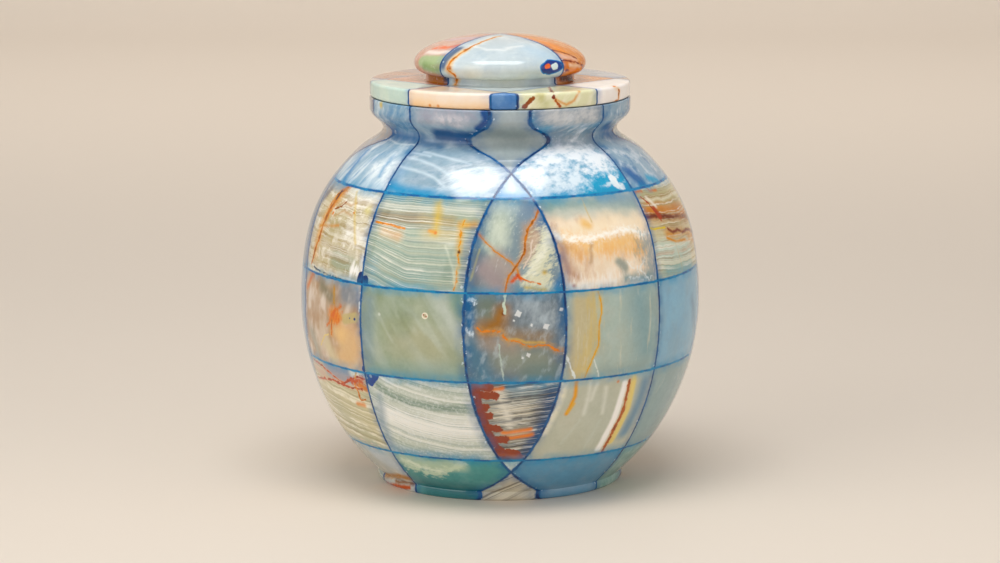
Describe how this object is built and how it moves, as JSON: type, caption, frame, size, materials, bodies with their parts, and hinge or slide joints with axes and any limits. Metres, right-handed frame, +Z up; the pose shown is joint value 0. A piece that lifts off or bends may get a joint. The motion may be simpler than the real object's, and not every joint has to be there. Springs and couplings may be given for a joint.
{
  "type": "funeral urn",
  "caption": "Round lidded funeral urn, turned from polished onyx blocks glued with blue resin, hollow, with a loose disc lid and low domed knob.",
  "frame": {"origin": "middle of the underside, on the axis the urn was turned on", "axes": "+Z up along the turning axis; -Y towards the front, where two upright joints cross at the shoulder"},
  "size_m": [0.2268, 0.2276, 0.254],
  "materials": {
    "onyx_blue_white": "white-clouded pale blue onyx, polished",
    "onyx_cream_banded": "cream and grey-green banded onyx, polished",
    "onyx_sage": "sage to blue-green onyx, polished",
    "onyx_peach": "peach and cream onyx with orange veins, polished",
    "onyx_russet": "grey onyx with russet patches and veins, polished",
    "onyx_teal": "teal to slate blue onyx, polished",
    "onyx_grey": "smoky grey onyx, polished",
    "blue_resin": "deep blue tinted resin in the glue joints, polished flush"
  },
  "bodies": {
    "root": {"foot_corner_front": "onyx_cream_banded", "foot_inner_back": "onyx_cream_banded", "foot_inner_front": "onyx_cream_banded", "foot_inner_left": "onyx_cream_banded", "foot_inner_right": "onyx_cream_banded", "foot_rear_stones": "onyx_cream_banded", "foot_side_front_left_far": "onyx_grey", "foot_side_front_left_near": "onyx_teal", "foot_side_front_right_far": "onyx_sage", "foot_side_front_right_near": "onyx_teal", "lid_corner_front": "onyx_teal", "lid_corner_left": "onyx_peach", "lid_corner_right": "onyx_peach", "lid_inner_back": "onyx_peach", "lid_inner_front": "onyx_grey", "lid_inner_left": "onyx_peach", "lid_inner_right": "onyx_peach", "lid_rear_stones": "onyx_peach", "lid_side_front_left_far": "onyx_blue_white", "lid_side_front_left_near": "onyx_peach", "lid_side_front_right_far": "onyx_peach", "lid_side_front_right_near": "onyx_cream_banded", "lower_corner_front": "onyx_russet", "lower_corner_left": "onyx_grey", "lower_corner_right": "onyx_grey", "lower_rear_stones": "onyx_grey", "lower_side_front_left_far": "onyx_russet", "lower_side_front_left_near": "onyx_cream_banded", "lower_side_front_right_far": "onyx_sage", "lower_side_front_right_near": "onyx_sage", "middle_corner_front": "onyx_grey", "middle_corner_left": "onyx_grey", "middle_corner_right": "onyx_grey", "middle_rear_stones": "onyx_grey", "middle_side_front_left_far": "onyx_peach", "middle_side_front_left_near": "onyx_sage", "middle_side_front_right_far": "onyx_blue_white", "middle_side_front_right_near": "onyx_sage", "shoulder_corner_front": "onyx_blue_white", "shoulder_corner_left": "onyx_grey", "shoulder_corner_right": "onyx_grey", "shoulder_inner_back": "onyx_grey", "shoulder_inner_front": "onyx_grey", "shoulder_inner_left": "onyx_grey", "shoulder_inner_right": "onyx_grey", "shoulder_rear_stones": "onyx_grey", "shoulder_side_front_left_far": "onyx_blue_white", "shoulder_side_front_left_near": "onyx_blue_white", "shoulder_side_front_right_far": "onyx_blue_white", "shoulder_side_front_right_near": "onyx_blue_white", "upper_corner_front": "onyx_grey", "upper_corner_left": "onyx_cream_banded", "upper_corner_right": "onyx_cream_banded", "upper_rear_stones": "onyx_cream_banded", "upper_side_front_left_far": "onyx_cream_banded", "upper_side_front_left_near": "onyx_cream_banded", "upper_side_front_right_far": "onyx_cream_banded", "upper_side_front_right_near": "onyx_peach"}
  },
  "joints": []
}
